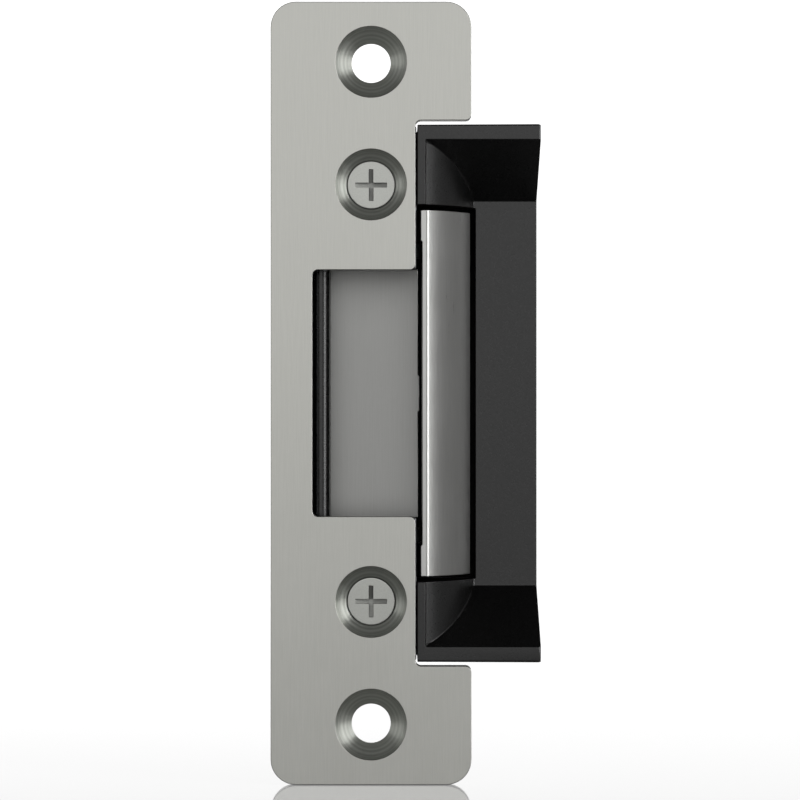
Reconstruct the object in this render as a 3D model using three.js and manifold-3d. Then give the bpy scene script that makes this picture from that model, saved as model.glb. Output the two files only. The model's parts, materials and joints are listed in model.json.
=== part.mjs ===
// Electric door strike with a swinging keeper, built as the pieces that it comes apart into.
// Millimetres. +X runs across the faceplate towards the lip, +Y goes into the door frame and
// +Z is up. The origin is the middle of the faceplate's outline, on the face that seats on the frame.
import * as THREE from 'three';
import { mergeVertices } from 'three/addons/utils/BufferGeometryUtils.js';
import Module from 'manifold-3d';

const wasm = await Module();
wasm.setup();

// ---------------------------------------------------------------- driving dimensions

// Air left between pieces: still, sliding and swinging.
const seatGap = 0.1;
const slideGap = 0.2;
const swingGap = 0.3;

// How far a cutter runs out past the face that it opens.
const past = 1;

const plate = {
  width: 31.75,
  height: 123.8,
  thick: 3,
  corner: 4,
  mountSpacing: 104.775,
  mountHole: 6.2,
  sink: 11.2,
  openingHeight: 39,
  openingMargin: 6.605,
  openingCorner: 0.9,
  notchWidth: 8.595,
  notchGap: 0.65,
};

const keeper = {
  pinInset: 8.92,
  pinDepth: 15.68,
  radius: 18.55,
  depth: 2.85,
  faceEnd: -17.7,
  cheek: 4.95,
  endGap: 0.83,
  noseGap: 0.82,
  noseDrop: 0.4,
  cheekStep: 0.23,
  hub: 4.2,
  tailFrom: 74,
  tailTo: 88,
};

const pin = { diameter: 3.5 };

const housing = {
  overhang: 11,
  rim: 2.36,
  leftRim: 1.3,
  earSpan: 10.31,
  recessDepth: 11.5,
  floorThick: 2.5,
  floorStep: 1.17,
  draft: 0.3,
};

const bumper = { height: 3.9, back: 1.7, squeeze: 0.25, corner: 0.5 };

const body = {
  wall: 1.4,
  inset: 0.875,
  cover: 1.2,
  coverCorner: 1.5,
  post: 3,
  postInset: 2.2,
  boss: 4,
  shelf: 2,
};

const liner = { rib: 1.45, ribInset: 1.17, ribRise: 0.6, endGap: 0.8, end: 1 };

const stopPlate = { depth: 13, thick: 1.2, under: 0.22, tab: 0.2, tabHalf: 2.9 };

const returnSpring = {
  room: 2.75,
  wire: 0.6,
  coil: 3.2,
  turns: 2,
  leg: 7.5,
  restAngle: 180,
  pushAngle: 344,
};

// The lug on the keeper that a return spring pushes, in degrees and distances about the pin.
const lug = { from: -33, to: -24, inner: 6.5, outer: 8.5, reach: 1.35 };

const coil = {
  flange: 5.8,
  windingDrop: 0.4,
  tubeWall: 0.7,
  flangeThick: 1,
  frame: 1.5,
  frameDepth: 9.2,
  room: 0.4,
  offset: 1.86,
  stand: 1.5,
  core: 9.7,
  neck: 2,
};

const plunger = {
  diameter: 6.2,
  travel: 4.5,
  room: 19,
  end: 5.5,
  rod: 2.5,
  socket: 3,
  groove: 0.8,
  chamfer: 0.4,
};

const clip = { thick: 0.6, inset: 1.2, rim: 0.7, mouth: 60 };

const plungerSpring = { wire: 0.5, clear: 0.9, turns: 7 };

const lock = {
  height: 7,
  inner: 2.2,
  outer: 2,
  from: 90.5,
  to: 113,
  drop: 0.45,
  seat: 1,
  wall: 1.5,
  guideHeight: 10,
  guideFloor: 1.4,
};

// Flat-head screws: faceplate to case, lip housing to case, cover, solenoid and board.
const plateScrew = { diameter: 4, head: 7.6, sunk: 1.65, length: 11, fromEar: 3.17 };
const housingScrew = { diameter: 3, head: 5.2, headHeight: 1.8, length: 5, inset: 3.3, fromEar: 6.7 };
const coverScrew = { diameter: 2.8, head: 5.4, headHeight: 1.5, length: 8 };
const coilScrew = { diameter: 2.4, head: 4.6, inset: 6, spacer: 2.8 };
const boardScrew = { diameter: 2, head: 3.6, headHeight: 1.2, length: 5 };

const board = {
  width: 19,
  height: 8.2,
  thick: 1.6,
  back: 4,
  right: 1.5,
  fromShelf: 5.1,
  spacing: 15,
  post: 1.8,
};

const diode = { length: 5.2, radius: 1.3, legSpan: 8.2, leg: 0.35, drop: 2.4 };

const terminal = { width: 10.2, height: 7.4, stand: 7.4, pitch: 5, screw: 3, screwHole: 3.4, wireHole: 2.4 };

const lead = { diameter: 0.7 };

// ---------------------------------------------------------------- places worked out from them

const front = -plate.thick;
const notchX = plate.width / 2 - plate.notchWidth;
const openingX = plate.openingMargin - plate.width / 2;
const openingHalf = plate.openingHeight / 2;

const pivotX = notchX - keeper.pinInset;
const pivotY = front + keeper.pinDepth;
const linerInner = openingHalf + liner.endGap;
const linerOuter = linerInner + liner.end;
const cheekInner = linerOuter + returnSpring.room;
const keeperHalf = cheekInner + keeper.cheek;
const noseX = notchX + keeper.noseGap;
const noseY = front + keeper.noseDrop;

const earStart = keeperHalf + keeper.endGap;
const recessHalf = earStart + housing.earSpan;
const housingHalf = recessHalf + housing.rim;
const housingLeft = notchX + seatGap / 2;
const housingRight = plate.width / 2 + housing.overhang;
const floorY = front + housing.recessDepth;
const housingBack = floorY + housing.floorThick;
const notchHalf = housingHalf + plate.notchGap;

const caseHalf = housingHalf - seatGap;
const caseInner = caseHalf - body.wall;
const caseLeft = body.inset - plate.width / 2;
const caseRight = pivotX + keeper.radius + swingGap + seatGap + body.wall;
const caseStep = notchX - seatGap;
const plateScrewZ = earStart + plateScrew.fromEar;

const stopBack = stopPlate.depth + stopPlate.thick;
const coilX = pivotX - coil.offset;
const coilY = stopBack + coil.stand + coil.flange;
const coverY = coilY + coil.flange + swingGap;
const coverBack = coverY + body.cover;
const lockTop = cheekInner - lock.drop;
const lockBottom = lockTop - lock.height;
const frameTop = lockBottom - plunger.travel - seatGap;
const frameBottom = plunger.room - caseInner;
const plungerBottom = plunger.end - caseInner;
const frameLeft = coilX - coil.flange - coil.room - coil.frame;
const frameRight = coilX + coil.flange + coil.room;
const coreBottom = frameTop - coil.core;
const plungerTop = coreBottom - plunger.travel - swingGap;
const coilBore = plunger.diameter / 2 + slideGap;
const tubeRadius = coilBore + coil.tubeWall;
const windingRadius = coil.flange - coil.windingDrop;
const springRadius = plunger.diameter / 2 + plungerSpring.clear;

const boardY = coverY - board.back;
const boardZ = earStart + body.wall + board.fromShelf;
const boardX = board.right;
const postX = caseLeft + body.wall + body.postInset;
const farPostX = caseRight - body.wall - body.postInset;
const postZ = caseInner - body.postInset;
const housingScrewX = caseRight - body.wall - housingScrew.inset;
const housingScrewZ = earStart + housingScrew.fromEar;
const shelfBack = pivotY + pin.diameter / 2 + body.shelf;

// ---------------------------------------------------------------- solids

const radians = THREE.MathUtils.degToRad;

// A closed three.js geometry as a solid that can be joined and cut.
function solid(geometry) {
  geometry.deleteAttribute('normal');
  geometry.deleteAttribute('uv');
  const welded = mergeVertices(geometry, 1e-4);
  return new wasm.Manifold(new wasm.Mesh({
    numProp: 3,
    vertProperties: new Float32Array(welded.attributes.position.array),
    triVerts: new Uint32Array(welded.index.array),
  }));
}

function box(x0, x1, y0, y1, z0, z1) {
  const geometry = new THREE.BoxGeometry(x1 - x0, y1 - y0, z1 - z0);
  return solid(geometry.translate((x0 + x1) / 2, (y0 + y1) / 2, (z0 + z1) / 2));
}

function extruded(outline, length) {
  return new THREE.ExtrudeGeometry(new THREE.Shape(outline), { depth: length, bevelEnabled: false });
}

// An outline of X and Y pushed up from z0 to z1.
function upright(outline, z0, z1) {
  return solid(extruded(outline, z1 - z0).translate(0, 0, z0));
}

// An outline of X and Z pushed back from y0 to y1.
function facing(outline, y0, y1) {
  return solid(extruded(outline, y1 - y0).rotateX(Math.PI / 2).translate(0, y1, 0));
}

// An outline of Y and Z pushed across from x0 to x1.
function sideways(outline, x0, x1) {
  const turn = new THREE.Matrix4().makeBasis(
    new THREE.Vector3(0, 1, 0),
    new THREE.Vector3(0, 0, 1),
    new THREE.Vector3(1, 0, 0),
  );
  return solid(extruded(outline, x1 - x0).applyMatrix4(turn).translate(x0, 0, 0));
}

// A profile of [radius, height] pairs, turned about the Z axis and stood at x, y.
function turnedZ(profile, x, y, sides = 32) {
  const points = profile.map(([r, h]) => new THREE.Vector2(r, h));
  return solid(new THREE.LatheGeometry(points, sides).rotateX(Math.PI / 2).translate(x, y, 0));
}

// The same about the Y axis, at x, z.
function turnedY(profile, x, z, sides = 32) {
  const points = profile.map(([r, h]) => new THREE.Vector2(r, h));
  return solid(new THREE.LatheGeometry(points, sides).translate(x, 0, z));
}

// The same about the X axis, at y, z.
function turnedX(profile, y, z, sides = 20) {
  const points = profile.map(([r, h]) => new THREE.Vector2(r, h));
  return solid(new THREE.LatheGeometry(points, sides).rotateZ(-Math.PI / 2).translate(0, y, z));
}

const disc = (radius, from, to) => [[0, from], [radius, from], [radius, to], [0, to]];

const rodZ = (x, y, radius, z0, z1, sides) => turnedZ(disc(radius, z0, z1), x, y, sides);

const rodY = (x, z, radius, y0, y1, sides) => turnedY(disc(radius, y0, y1), x, z, sides);

// A round wire or cable along a curve.
function wire(curve, diameter, steps, sides = 8) {
  const section = new THREE.Shape();
  for (let i = 0; i < sides; i += 1) {
    const a = (2 * Math.PI * i) / sides;
    const move = i ? 'lineTo' : 'moveTo';
    section[move]((diameter / 2) * Math.cos(a), (diameter / 2) * Math.sin(a));
  }
  return solid(new THREE.ExtrudeGeometry(section, { steps, extrudePath: curve, bevelEnabled: false }));
}

// The lower and upper ends of a stretch that lies above the middle (side 1) or below it (side -1).
function span(side, near, far) {
  return [side * near, side * far].sort((a, b) => a - b);
}

// A point at an angle and distance from the keeper's pin.
function aboutPin(degrees, radius) {
  const a = radians(degrees);
  return new THREE.Vector2(pivotX + radius * Math.cos(a), pivotY + radius * Math.sin(a));
}

// Points along an arc about the keeper's pin.
function pinArc(radius, from, to, steps) {
  return Array.from({ length: steps + 1 }, (_, i) => aboutPin(from + ((to - from) * i) / steps, radius));
}

// An outline from [u, v, radius] corners, each one rounded to its radius.
function rounded(corners, steps = 6) {
  const at = (i) => {
    const [u, v] = corners[(i + corners.length) % corners.length];
    return new THREE.Vector2(u, v);
  };
  return corners.flatMap(([, , radius = 0], i) => {
    const here = at(i);
    if (radius === 0) {
      return [here];
    }
    const back = at(i - 1).sub(here).normalize();
    const on = at(i + 1).sub(here).normalize();
    const half = Math.acos(back.dot(on)) / 2;
    const middle = back.clone().add(on).normalize();
    const centre = here.clone().addScaledVector(middle, radius / Math.sin(half));
    const begin = here.clone().addScaledVector(back, radius / Math.tan(half)).sub(centre);
    const finish = here.clone().addScaledVector(on, radius / Math.tan(half)).sub(centre);
    const turn = Math.atan2(begin.cross(finish), begin.dot(finish));
    return Array.from({ length: steps + 1 }, (_, k) => {
      const origin = new THREE.Vector2();
      return begin.clone().rotateAround(origin, (turn * k) / steps).add(centre);
    });
  });
}

const finishes = {
  stainless: { color: 0xafb1aa, roughness: 0.35, metalness: 1 },
  satinSteel: { color: 0x9c9c9a, roughness: 0.3, metalness: 1 },
  zincPlate: { color: 0xa9abad, roughness: 0.45, metalness: 1 },
  blackCast: { color: 0x2a2a2a, roughness: 0.55, metalness: 0.3 },
  blackMoulding: { color: 0x151515, roughness: 0.45, metalness: 0 },
  rubber: { color: 0x0d0d0d, roughness: 0.8, metalness: 0 },
  softIron: { color: 0x77797b, roughness: 0.4, metalness: 1 },
  brass: { color: 0xb08d4a, roughness: 0.35, metalness: 1 },
  copper: { color: 0xa4532a, roughness: 0.35, metalness: 1 },
  whiteNylon: { color: 0xd8d6cc, roughness: 0.5, metalness: 0 },
  greenBoard: { color: 0x1f5a37, roughness: 0.5, metalness: 0 },
  redSleeve: { color: 0x9c1f1a, roughness: 0.5, metalness: 0 },
};

const strike = new THREE.Group();
strike.name = 'electric_door_strike';

// Names a finished solid and adds it to the strike.
function add(name, shape, finish) {
  const mesh = shape.getMesh();
  const geometry = new THREE.BufferGeometry();
  geometry.setAttribute('position', new THREE.BufferAttribute(mesh.vertProperties, 3));
  geometry.setIndex(new THREE.BufferAttribute(mesh.triVerts, 1));
  geometry.computeVertexNormals();
  const piece = new THREE.Mesh(geometry, new THREE.MeshStandardMaterial(finishes[finish]));
  piece.name = name;
  strike.add(piece);
}

// ---------------------------------------------------------------- faceplate and its screws

// The cone and shank hole of a flat-head screw that is driven in from the front.
function sinkCutter(x, z, hole, end) {
  const mouth = plate.sink / 2 + past;
  const mouthY = front - past;
  return turnedY([
    [0, mouthY],
    [mouth, mouthY],
    [hole, mouthY + mouth - hole],
    [hole, end],
    [0, end],
  ], x, z, 40);
}

const plateScrewHole = (side) => sinkCutter(0, side * plateScrewZ, plateScrew.diameter / 2 + slideGap,
  front + plateScrew.sunk + plateScrew.length + slideGap);

function makeFaceplate() {
  const right = plate.width / 2;
  const half = plate.height / 2;
  const fillet = plate.openingCorner;
  const upper = [
    [notchX, -openingHalf, fillet],
    [notchX, -notchHalf, fillet],
    [right, -notchHalf, fillet],
    [right, -half, plate.corner],
    [-right, -half, plate.corner],
    [-right, half, plate.corner],
    [right, half, plate.corner],
    [right, notchHalf, fillet],
    [notchX, notchHalf, fillet],
    [notchX, openingHalf, fillet],
    [openingX, openingHalf, fillet],
    [openingX, -openingHalf, fillet],
  ];
  let shape = facing(rounded(upper), front, 0);
  for (const side of [1, -1]) {
    const mountHole = sinkCutter(0, (side * plate.mountSpacing) / 2, plate.mountHole / 2, past);
    shape = shape.subtract(mountHole).subtract(plateScrewHole(side));
  }
  add('faceplate', shape, 'stainless');
}

// Two crossed slots, sunk into a head that faces -Y.
function crossRecess(x, z, length, width, top, depth) {
  const slot = (w, h) => box(x - w / 2, x + w / 2, top - past, top + depth, z - h / 2, z + h / 2);
  return slot(length, width).add(slot(width, length));
}

function makePlateScrew(name, side) {
  const top = front + plateScrew.sunk;
  const head = plateScrew.head / 2;
  const shank = plateScrew.diameter / 2;
  const z = side * plateScrewZ;
  const shape = turnedY([
    [0, top],
    [head, top],
    [shank, top + head - shank],
    [shank, top + plateScrew.length - 0.5],
    [shank - 0.5, top + plateScrew.length],
    [0, top + plateScrew.length],
  ], 0, z, 40);
  add(name, shape.subtract(crossRecess(0, z, 5, 0.75, top, 1.5)), 'stainless');
}

// ---------------------------------------------------------------- lip housing

function makeLipHousing() {
  const outer = upright(rounded([
    [housingLeft, front],
    [housingRight, front, 0.4],
    [housingRight - housing.draft, housingBack, 0.4],
    [housingLeft, housingBack],
  ], 3), -housingHalf, housingHalf);
  const floorHalf = earStart + housing.floorStep;
  const slope = (recessHalf - floorHalf) / housing.recessDepth;
  const recess = sideways([
    new THREE.Vector2(front - past, -recessHalf - slope * past),
    new THREE.Vector2(floorY, -floorHalf),
    new THREE.Vector2(floorY, floorHalf),
    new THREE.Vector2(front - past, recessHalf + slope * past),
  ], housingLeft + housing.leftRim, housingRight + past);
  const ears = rodZ(pivotX, pivotY, keeper.radius, -housingHalf, housingHalf, 96);
  const keeperWay = rodZ(pivotX, pivotY, keeper.radius + swingGap, -earStart, earStart, 96);
  let shape = outer.subtract(recess.subtract(ears)).subtract(keeperWay);
  for (const side of [1, -1]) {
    const hole = housingScrew.diameter / 2 + slideGap;
    const deep = housingBack - housingScrew.length - 0.5;
    shape = shape.subtract(rodY(housingScrewX, side * housingScrewZ, hole, deep, housingBack + past, 24));
  }
  add('lip_housing', shape, 'blackCast');
}

function makeHousingScrew(name, side) {
  const seat = housingBack + body.wall;
  const z = side * housingScrewZ;
  const thread = housingScrew.diameter / 2;
  const shape = turnedY([
    [0, housingBack - housingScrew.length],
    [thread, housingBack - housingScrew.length],
    [thread, seat],
    [housingScrew.head / 2, seat],
    [housingScrew.head / 2, seat + housingScrew.headHeight],
    [0, seat + housingScrew.headHeight],
  ], housingScrewX, z, 18);
  const slot = box(housingScrewX - 2, housingScrewX + 2, seat + 1, seat + 3, z - 0.35, z + 0.35);
  add(name, shape.subtract(slot), 'zincPlate');
}

// ---------------------------------------------------------------- keeper, pins and springs

const backStop = floorY - 0.5;
const noseAngle = -THREE.MathUtils.radToDeg(Math.asin((pivotY - noseY) / keeper.radius));
const innerRadius = keeper.radius - keeper.depth;

// The keeper's outer face, from the nose's edge round to its free end.
const keeperFace = () => pinArc(keeper.radius, noseAngle, keeper.faceEnd, 18);

function makeKeeper() {
  const nose = [
    new THREE.Vector2(noseX, noseY),
    ...keeperFace(),
    aboutPin(keeper.faceEnd, innerRadius),
    new THREE.Vector2(noseX, backStop),
  ];
  const cheekX = noseX - keeper.cheekStep;
  const cheek = [
    new THREE.Vector2(cheekX, noseY),
    ...keeperFace(),
    aboutPin(keeper.faceEnd, innerRadius),
    ...pinArc(keeper.hub, 60, 235, 12),
    new THREE.Vector2(cheekX, body.wall + 0.5),
  ];
  const reach = Math.hypot(coil.offset, coilY - pivotY) + lock.outer + 0.5;
  const tail = [
    ...pinArc(keeper.hub - 0.7, keeper.tailFrom - 6, keeper.tailTo + 6, 2),
    ...pinArc(reach, keeper.tailTo, keeper.tailFrom, 2),
  ];
  const spike = [
    ...pinArc(lug.inner, lug.from, lug.to, 1),
    ...pinArc(lug.outer, lug.to, lug.from, 1),
  ];
  const hole = pin.diameter / 2 + slideGap;
  let shape = upright(nose, -keeperHalf, keeperHalf).add(upright(tail, cheekInner, keeperHalf));
  for (const side of [1, -1]) {
    shape = shape.add(upright(cheek, ...span(side, cheekInner, keeperHalf)));
    shape = shape.add(upright(spike, ...span(side, cheekInner - lug.reach, cheekInner + 1)));
  }
  shape = shape.subtract(rodZ(pivotX, pivotY, hole, -keeperHalf - past, keeperHalf + past, 32));
  add('keeper', shape, 'satinSteel');
}

function makeKeeperPin(name, side) {
  const ends = span(side, linerInner + 0.3, earStart + body.wall);
  const radius = pin.diameter / 2;
  const shape = turnedZ([
    [0, ends[0]],
    [radius - 0.3, ends[0]],
    [radius, ends[0] + 0.3],
    [radius, ends[1] - 0.3],
    [radius - 0.3, ends[1]],
    [0, ends[1]],
  ], pivotX, pivotY, 24);
  add(name, shape, 'zincPlate');
}

// A torsion spring: a leg that rests on the liner, its turns, and a leg that pushes the keeper.
function makeReturnSpring(name, side) {
  const legAngle = THREE.MathUtils.radToDeg(Math.acos(returnSpring.coil / returnSpring.leg));
  const begin = returnSpring.restAngle + legAngle;
  const finish = returnSpring.pushAngle - legAngle + 360 * returnSpring.turns;
  const low = linerOuter + returnSpring.wire;
  const high = cheekInner - returnSpring.wire;
  const steps = returnSpring.turns * 12 + 2;
  const points = [];
  const put = (degrees, radius, z) => {
    const { x, y } = aboutPin(degrees, radius);
    points.push(new THREE.Vector3(x, y, side * z));
  };
  put(returnSpring.restAngle, returnSpring.leg, low);
  for (let i = 0; i <= steps; i += 1) {
    put(begin + ((finish - begin) * i) / steps, returnSpring.coil, low + ((high - low) * i) / steps);
  }
  put(returnSpring.pushAngle, returnSpring.leg, high);
  const curve = new THREE.CatmullRomCurve3(points, false, 'centripetal');
  add(name, wire(curve, returnSpring.wire, steps + 6, 5), 'zincPlate');
}

function makeBumper(name, side) {
  const bottom = body.wall + seatGap;
  const outline = rounded([
    [notchX - bumper.back, bottom],
    [noseX - bumper.squeeze, bottom, bumper.corner],
    [noseX - bumper.squeeze, bottom + bumper.height, bumper.corner],
    [notchX - bumper.back, bottom + bumper.height],
  ], 3);
  add(name, upright(outline, ...span(side, linerOuter + slideGap, cheekInner - bumper.squeeze)), 'rubber');
}

// ---------------------------------------------------------------- case and cover

// Posts for the cover screws stand at the case's corners.
const corners = [
  [postX, postZ],
  [farPostX, postZ],
  [postX, -postZ],
  [farPostX, -postZ],
];

const coilScrewHeights = [frameTop - coilScrew.inset, frameBottom + coilScrew.inset];

const boardPosts = [boardX - board.spacing / 2, boardX + board.spacing / 2];

function makeCaseBody() {
  const wall = body.wall;
  const outer = box(caseLeft, caseRight, 0, coverY, -caseHalf, caseHalf);
  const inner = box(caseLeft + wall, caseRight - wall, wall, coverY + past, -caseInner, caseInner);
  const lipRoom = box(caseStep, caseRight + past, -past, housingBack, -caseHalf - past, caseHalf + past);
  const latchMouth = box(openingX - swingGap, caseStep + past, -past, wall + past,
    -openingHalf - swingGap, openingHalf + swingGap);
  let shape = outer.subtract(inner).subtract(lipRoom).subtract(latchMouth);
  for (const side of [1, -1]) {
    const shelf = span(side, earStart, earStart + wall);
    const end = span(side, earStart, caseHalf);
    shape = shape.add(box(caseLeft + wall / 2, caseStep, wall / 2, shelfBack, ...shelf));
    shape = shape.add(box(caseStep - wall, caseStep, wall / 2, housingBack + wall, ...end));
    shape = shape.add(box(caseStep - wall, caseRight - wall / 2, housingBack, housingBack + wall, ...end));
    shape = shape.add(rodY(0, side * plateScrewZ, body.boss, wall / 2,
      front + plateScrew.sunk + plateScrew.length + body.wall));
    shape = shape.subtract(plateScrewHole(side));
    shape = shape.subtract(rodY(housingScrewX, side * housingScrewZ, housingScrew.diameter / 2 + slideGap,
      housingBack - past, housingBack + wall + past, 24));
    shape = shape.subtract(rodZ(pivotX, pivotY, pin.diameter / 2 + slideGap,
      ...span(side, earStart - past, earStart + wall + past), 32));
  }
  for (const [x, z] of corners) {
    shape = shape.add(rodY(x, z, body.post, housingBack + wall + 3, coverY, 24)
      .intersect(box(caseLeft, caseRight, 0, coverY, -caseHalf, caseHalf)));
    shape = shape.subtract(rodY(x, z, coverScrew.diameter / 2 + slideGap, coverY - coverScrew.length - 0.5,
      coverY + past, 20));
  }
  for (const x of boardPosts) {
    const foot = x + board.post > caseStep ? housingBack + wall / 2 : wall / 2;
    shape = shape.add(rodY(x, boardZ, board.post, foot, boardY, 20));
    shape = shape.subtract(rodY(x, boardZ, boardScrew.diameter / 2 + slideGap,
      boardY - boardScrew.length - 0.5, boardY + past, 16));
  }
  for (const z of coilScrewHeights) {
    const spacer = turnedX(disc(coilScrew.spacer, caseLeft + wall / 2, frameLeft - seatGap / 2), coilY, z);
    shape = shape.add(spacer).subtract(coilScrewHole(z));
  }
  add('case_body', shape, 'zincPlate');
}

// The cone and shank hole of a solenoid screw, driven in through the case's side.
function coilScrewHole(z) {
  const shank = coilScrew.diameter / 2 + slideGap;
  const mouth = coilScrew.head / 2 + slideGap + past;
  return turnedX([
    [0, caseLeft - past],
    [mouth, caseLeft - past],
    [shank, caseLeft - past + mouth - shank],
    [shank, coilX],
    [0, coilX],
  ], coilY, z);
}

function makeBackCover() {
  const outline = rounded([
    [caseLeft, -caseHalf, body.coverCorner],
    [caseRight, -caseHalf, body.coverCorner],
    [caseRight, caseHalf, body.coverCorner],
    [caseLeft, caseHalf, body.coverCorner],
  ], 4);
  let shape = facing(outline, coverY, coverBack);
  for (const [x, z] of corners) {
    const hole = coverScrew.diameter / 2 + slideGap;
    shape = shape.subtract(rodY(x, z, hole, coverY - past, coverBack + past, 20));
  }
  const half = { x: terminal.width / 2 + swingGap, z: terminal.height / 2 + swingGap };
  shape = shape.subtract(box(boardX - half.x, boardX + half.x, coverY - past, coverBack + past,
    boardZ - half.z, boardZ + half.z));
  add('back_cover', shape, 'stainless');
}

// A screw with a cylindrical head that faces +Y.
function rearScrew(name, screw, x, z, seat, finish) {
  const head = screw.head / 2;
  const top = seat + screw.headHeight;
  const thread = screw.diameter / 2;
  const shape = turnedY([
    [0, seat - screw.length],
    [thread, seat - screw.length],
    [thread, seat],
    [head, seat],
    [head, top - 0.4],
    [head - 0.4, top],
    [0, top],
  ], x, z, 18);
  const bar = head * 0.62;
  const cross = box(x - bar, x + bar, top - 0.8, top + 1, z - 0.3, z + 0.3)
    .add(box(x - 0.3, x + 0.3, top - 0.8, top + 1, z - bar, z + bar));
  add(name, shape.subtract(cross), finish);
}

// ---------------------------------------------------------------- latch pocket

function makeLatchLiner() {
  const ribX = openingX + liner.ribInset;
  const ribY = body.wall + liner.ribRise + liner.rib;
  const left = caseLeft + body.wall + seatGap;
  const halfRound = Array.from({ length: 13 }, (_, i) => {
    const a = Math.PI * (1 + i / 12);
    return new THREE.Vector2(ribX + liner.rib * Math.cos(a), ribY + liner.rib * Math.sin(a));
  });
  const wallBack = stopPlate.depth - seatGap;
  const wall = [
    new THREE.Vector2(left, ribY),
    ...halfRound,
    new THREE.Vector2(ribX + liner.rib, wallBack),
    new THREE.Vector2(left, wallBack),
  ];
  let shape = upright(wall, -linerOuter, linerOuter);
  for (const side of [1, -1]) {
    const ledge = span(side, linerOuter - 0.5, linerOuter + 2 * returnSpring.wire + seatGap);
    const end = span(side, linerInner, linerOuter);
    shape = shape.add(box(left, caseStep - swingGap, ribY, stopBack + 1, ...end));
    const rest = aboutPin(returnSpring.restAngle, returnSpring.leg);
    const ledgeTop = rest.y - returnSpring.wire / 2 - slideGap;
    shape = shape.add(box(rest.x - 0.9, rest.x + 0.1, ledgeTop - 1.6, ledgeTop, ...ledge));
    shape = shape.subtract(rodZ(pivotX, pivotY, pin.diameter / 2 + slideGap,
      ...span(side, linerInner + slideGap, linerOuter + past), 32));
  }
  add('latch_liner', shape, 'blackMoulding');
}

function makeStopPlate() {
  const half = linerInner - seatGap;
  const left = caseLeft + body.wall + seatGap;
  const right = notchX + stopPlate.under;
  const tab = stopPlate.tabHalf;
  const shape = box(left, right, stopPlate.depth, stopBack, -half, half)
    .add(box(right - 1, right + stopPlate.tab, stopPlate.depth, stopBack, -tab, tab));
  add('latch_stop_plate', shape, 'satinSteel');
}

// ---------------------------------------------------------------- solenoid and lock

function makeSolenoidFrame() {
  const half = coil.frameDepth / 2;
  const outline = [
    [frameLeft, frameBottom],
    [frameRight, frameBottom],
    [frameRight, frameBottom + coil.frame],
    [frameLeft + coil.frame, frameBottom + coil.frame],
    [frameLeft + coil.frame, frameTop - coil.frame],
    [frameRight, frameTop - coil.frame],
    [frameRight, frameTop],
    [frameLeft, frameTop],
  ].map(([x, z]) => new THREE.Vector2(x, z));
  let shape = facing(outline, coilY - half, coilY + half);
  shape = shape.subtract(rodZ(coilX, coilY, coilBore, frameBottom - past, frameBottom + coil.frame + past));
  shape = shape.subtract(rodZ(coilX, coilY, coil.neck + slideGap, frameTop - coil.frame - past,
    frameTop + past));
  for (const z of coilScrewHeights) {
    shape = shape.subtract(coilScrewHole(z));
  }
  add('solenoid_frame', shape, 'zincPlate');
}

function makeCoil() {
  const bottom = frameBottom + coil.frame + seatGap;
  const top = frameTop - coil.frame - seatGap;
  const bobbin = turnedZ([
    [coilBore, bottom],
    [coil.flange, bottom],
    [coil.flange, bottom + coil.flangeThick],
    [tubeRadius, bottom + coil.flangeThick],
    [tubeRadius, top - coil.flangeThick],
    [coil.flange, top - coil.flangeThick],
    [coil.flange, top],
    [coilBore, top],
    [coilBore, bottom],
  ], coilX, coilY);
  add('coil_bobbin', bobbin, 'whiteNylon');
  const low = bottom + coil.flangeThick + seatGap;
  const high = top - coil.flangeThick - seatGap;
  const winding = turnedZ([
    [tubeRadius + seatGap, low],
    [windingRadius, low],
    [windingRadius, high],
    [tubeRadius + seatGap, high],
    [tubeRadius + seatGap, low],
  ], coilX, coilY);
  add('coil_winding', winding, 'copper');
}

function makeFixedCore() {
  const hole = plunger.rod / 2 + slideGap;
  const shoulder = frameTop - coil.frame - seatGap;
  const shape = turnedZ([
    [hole, coreBottom],
    [plunger.diameter / 2, coreBottom],
    [plunger.diameter / 2, shoulder],
    [coil.neck, shoulder],
    [coil.neck, frameTop],
    [hole, frameTop],
    [hole, coreBottom],
  ], coilX, coilY, 32);
  add('fixed_core', shape, 'softIron');
}

const clipZ = plungerBottom + clip.inset;

function makePlunger() {
  const radius = plunger.diameter / 2;
  const socket = plunger.rod / 2 + slideGap;
  const shape = turnedZ([
    [0, plungerBottom],
    [radius - plunger.chamfer, plungerBottom],
    [radius, plungerBottom + plunger.chamfer],
    [radius, clipZ - seatGap],
    [radius - plunger.groove, clipZ - seatGap],
    [radius - plunger.groove, clipZ + clip.thick + seatGap],
    [radius, clipZ + clip.thick + seatGap],
    [radius, plungerTop],
    [socket, plungerTop],
    [socket, plungerTop - plunger.socket],
    [0, plungerTop - plunger.socket],
  ], coilX, coilY, 32);
  add('plunger', shape, 'softIron');
}

function makePlungerClip() {
  const inner = plunger.diameter / 2 - plunger.groove + slideGap;
  const outer = springRadius + clip.rim;
  const point = (degrees, radius) => {
    const a = radians(degrees);
    return new THREE.Vector2(coilX + radius * Math.cos(a), coilY + radius * Math.sin(a));
  };
  const steps = 24;
  const angles = Array.from({ length: steps + 1 }, (_, i) => -clip.mouth + ((360 - clip.mouth) * i) / steps);
  const outline = [
    ...angles.map((a) => point(a, outer)),
    ...angles.toReversed().map((a) => point(a, inner)),
  ];
  add('plunger_clip', upright(outline, clipZ, clipZ + clip.thick), 'zincPlate');
}

class Helix extends THREE.Curve {
  constructor(radius, bottom, top, turns) {
    super();
    Object.assign(this, { radius, bottom, top, turns });
  }

  getPoint(t) {
    const a = 2 * Math.PI * this.turns * t;
    const z = this.bottom + (this.top - this.bottom) * t;
    return new THREE.Vector3(coilX + this.radius * Math.cos(a), coilY + this.radius * Math.sin(a), z);
  }
}

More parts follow.
